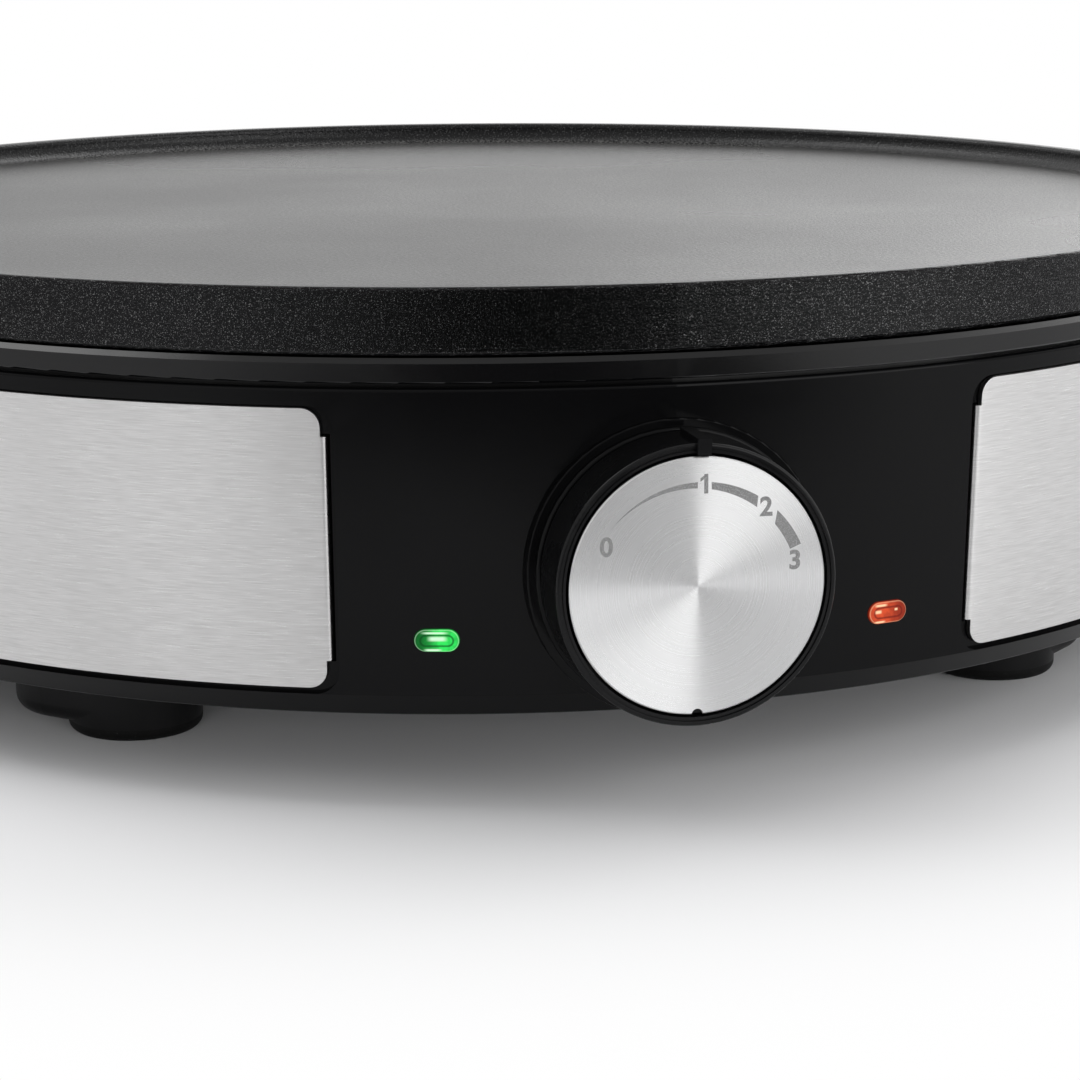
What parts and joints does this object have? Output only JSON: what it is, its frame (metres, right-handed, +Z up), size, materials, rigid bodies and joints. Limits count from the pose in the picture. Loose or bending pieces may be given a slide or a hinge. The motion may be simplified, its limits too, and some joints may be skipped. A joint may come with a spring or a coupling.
{
  "type": "electric crepe maker",
  "caption": "Countertop crepe maker: round rimmed baking plate on a low drum housing with steel side panels, signal lamps, feet and a turning temperature ring around a fixed dial.",
  "frame": {"origin": "centre of the plan outline on the table plane that the feet rest on", "axes": "+Z up out of the baking plate, -Y towards the user (knob side), +Y towards the cord entry, +X to the user's right"},
  "size_m": [0.3056, 0.3204, 0.0838],
  "materials": {
    "plate_coating": "dark non-stick coating on cast aluminium, fine speckle, turned outer band",
    "ring_plastic": "satin black heat-resistant plastic",
    "housing_plastic": "glossy black plastic",
    "panel_steel": "stainless sheet, horizontal brushing",
    "knob_plastic": "black plastic, soft sheen",
    "dial_aluminium": "spun aluminium with fine circular grain and a printed grey scale",
    "cover_plastic": "black plastic, fine texture",
    "foot_rubber": "black rubber",
    "green_lens": "clear green plastic lens, lit",
    "red_lens": "clear orange-red plastic lens, lit",
    "lamp_glass": "neon lamp glass",
    "element_sheath": "oxidised steel sheath",
    "zinc_steel": "zinc-plated steel",
    "reflector_sheet": "aluminised sheet",
    "brass": "turned brass",
    "copper": "drawn copper",
    "phenolic": "dark moulded phenolic",
    "terminal_plastic": "natural white moulding",
    "lead_sleeve": "silicone sleeve over wire"
  },
  "bodies": {
    "base": {"baking_plate": "plate_coating", "base_screws": "zinc_steel", "block_screws": "zinc_steel", "bottom_cover": "cover_plastic", "bulb_clip": "zinc_steel", "bulb_clip_screws": "zinc_steel", "capillary_tube": "copper", "cord_clamp": "cover_plastic", "cord_clamp_screws": "zinc_steel", "cord_gland": "cover_plastic", "dial_carrier": "cover_plastic", "dial_disc": "dial_aluminium", "element_clamp_screws": "zinc_steel", "element_clamps": "zinc_steel", "front_left_foot_pad": "foot_rubber", "front_right_foot_pad": "foot_rubber", "fuse_clip": "reflector_sheet", "fuse_lead": "lead_sleeve", "heat_reflector": "reflector_sheet", "heating_element": "element_sheath", "left_panel": "panel_steel", "main_housing": "housing_plastic", "neutral_lead": "lead_sleeve", "plate_screws": "zinc_steel", "power_lamp_lens": "green_lens", "power_neon_lamp": "lamp_glass", "ready_lamp_lens": "red_lens", "ready_neon_lamp": "lamp_glass", "rear_left_foot_pad": "foot_rubber", "rear_right_foot_pad": "foot_rubber", "reflector_screws": "zinc_steel", "right_panel": "panel_steel", "sensing_bulb": "copper", "supply_lead": "lead_sleeve", "switched_lead": "lead_sleeve", "terminal_block": "terminal_plastic", "thermal_fuse": "zinc_steel", "thermostat_body": "phenolic", "thermostat_bush": "brass", "thermostat_faceplate": "zinc_steel", "thermostat_screws": "zinc_steel", "upper_ring": "ring_plastic"},
    "knob": {"knob_ring": "knob_plastic", "knob_spring": "zinc_steel", "thermostat_spindle": "zinc_steel"}
  },
  "joints": [
    {"name": "temperature_turn", "type": "hinge", "parent": "base", "child": "knob", "pos_m": [0, -0.1592, 0.0387], "axis": [0, 1, 0], "range_deg": [-69, 73]}
  ]
}
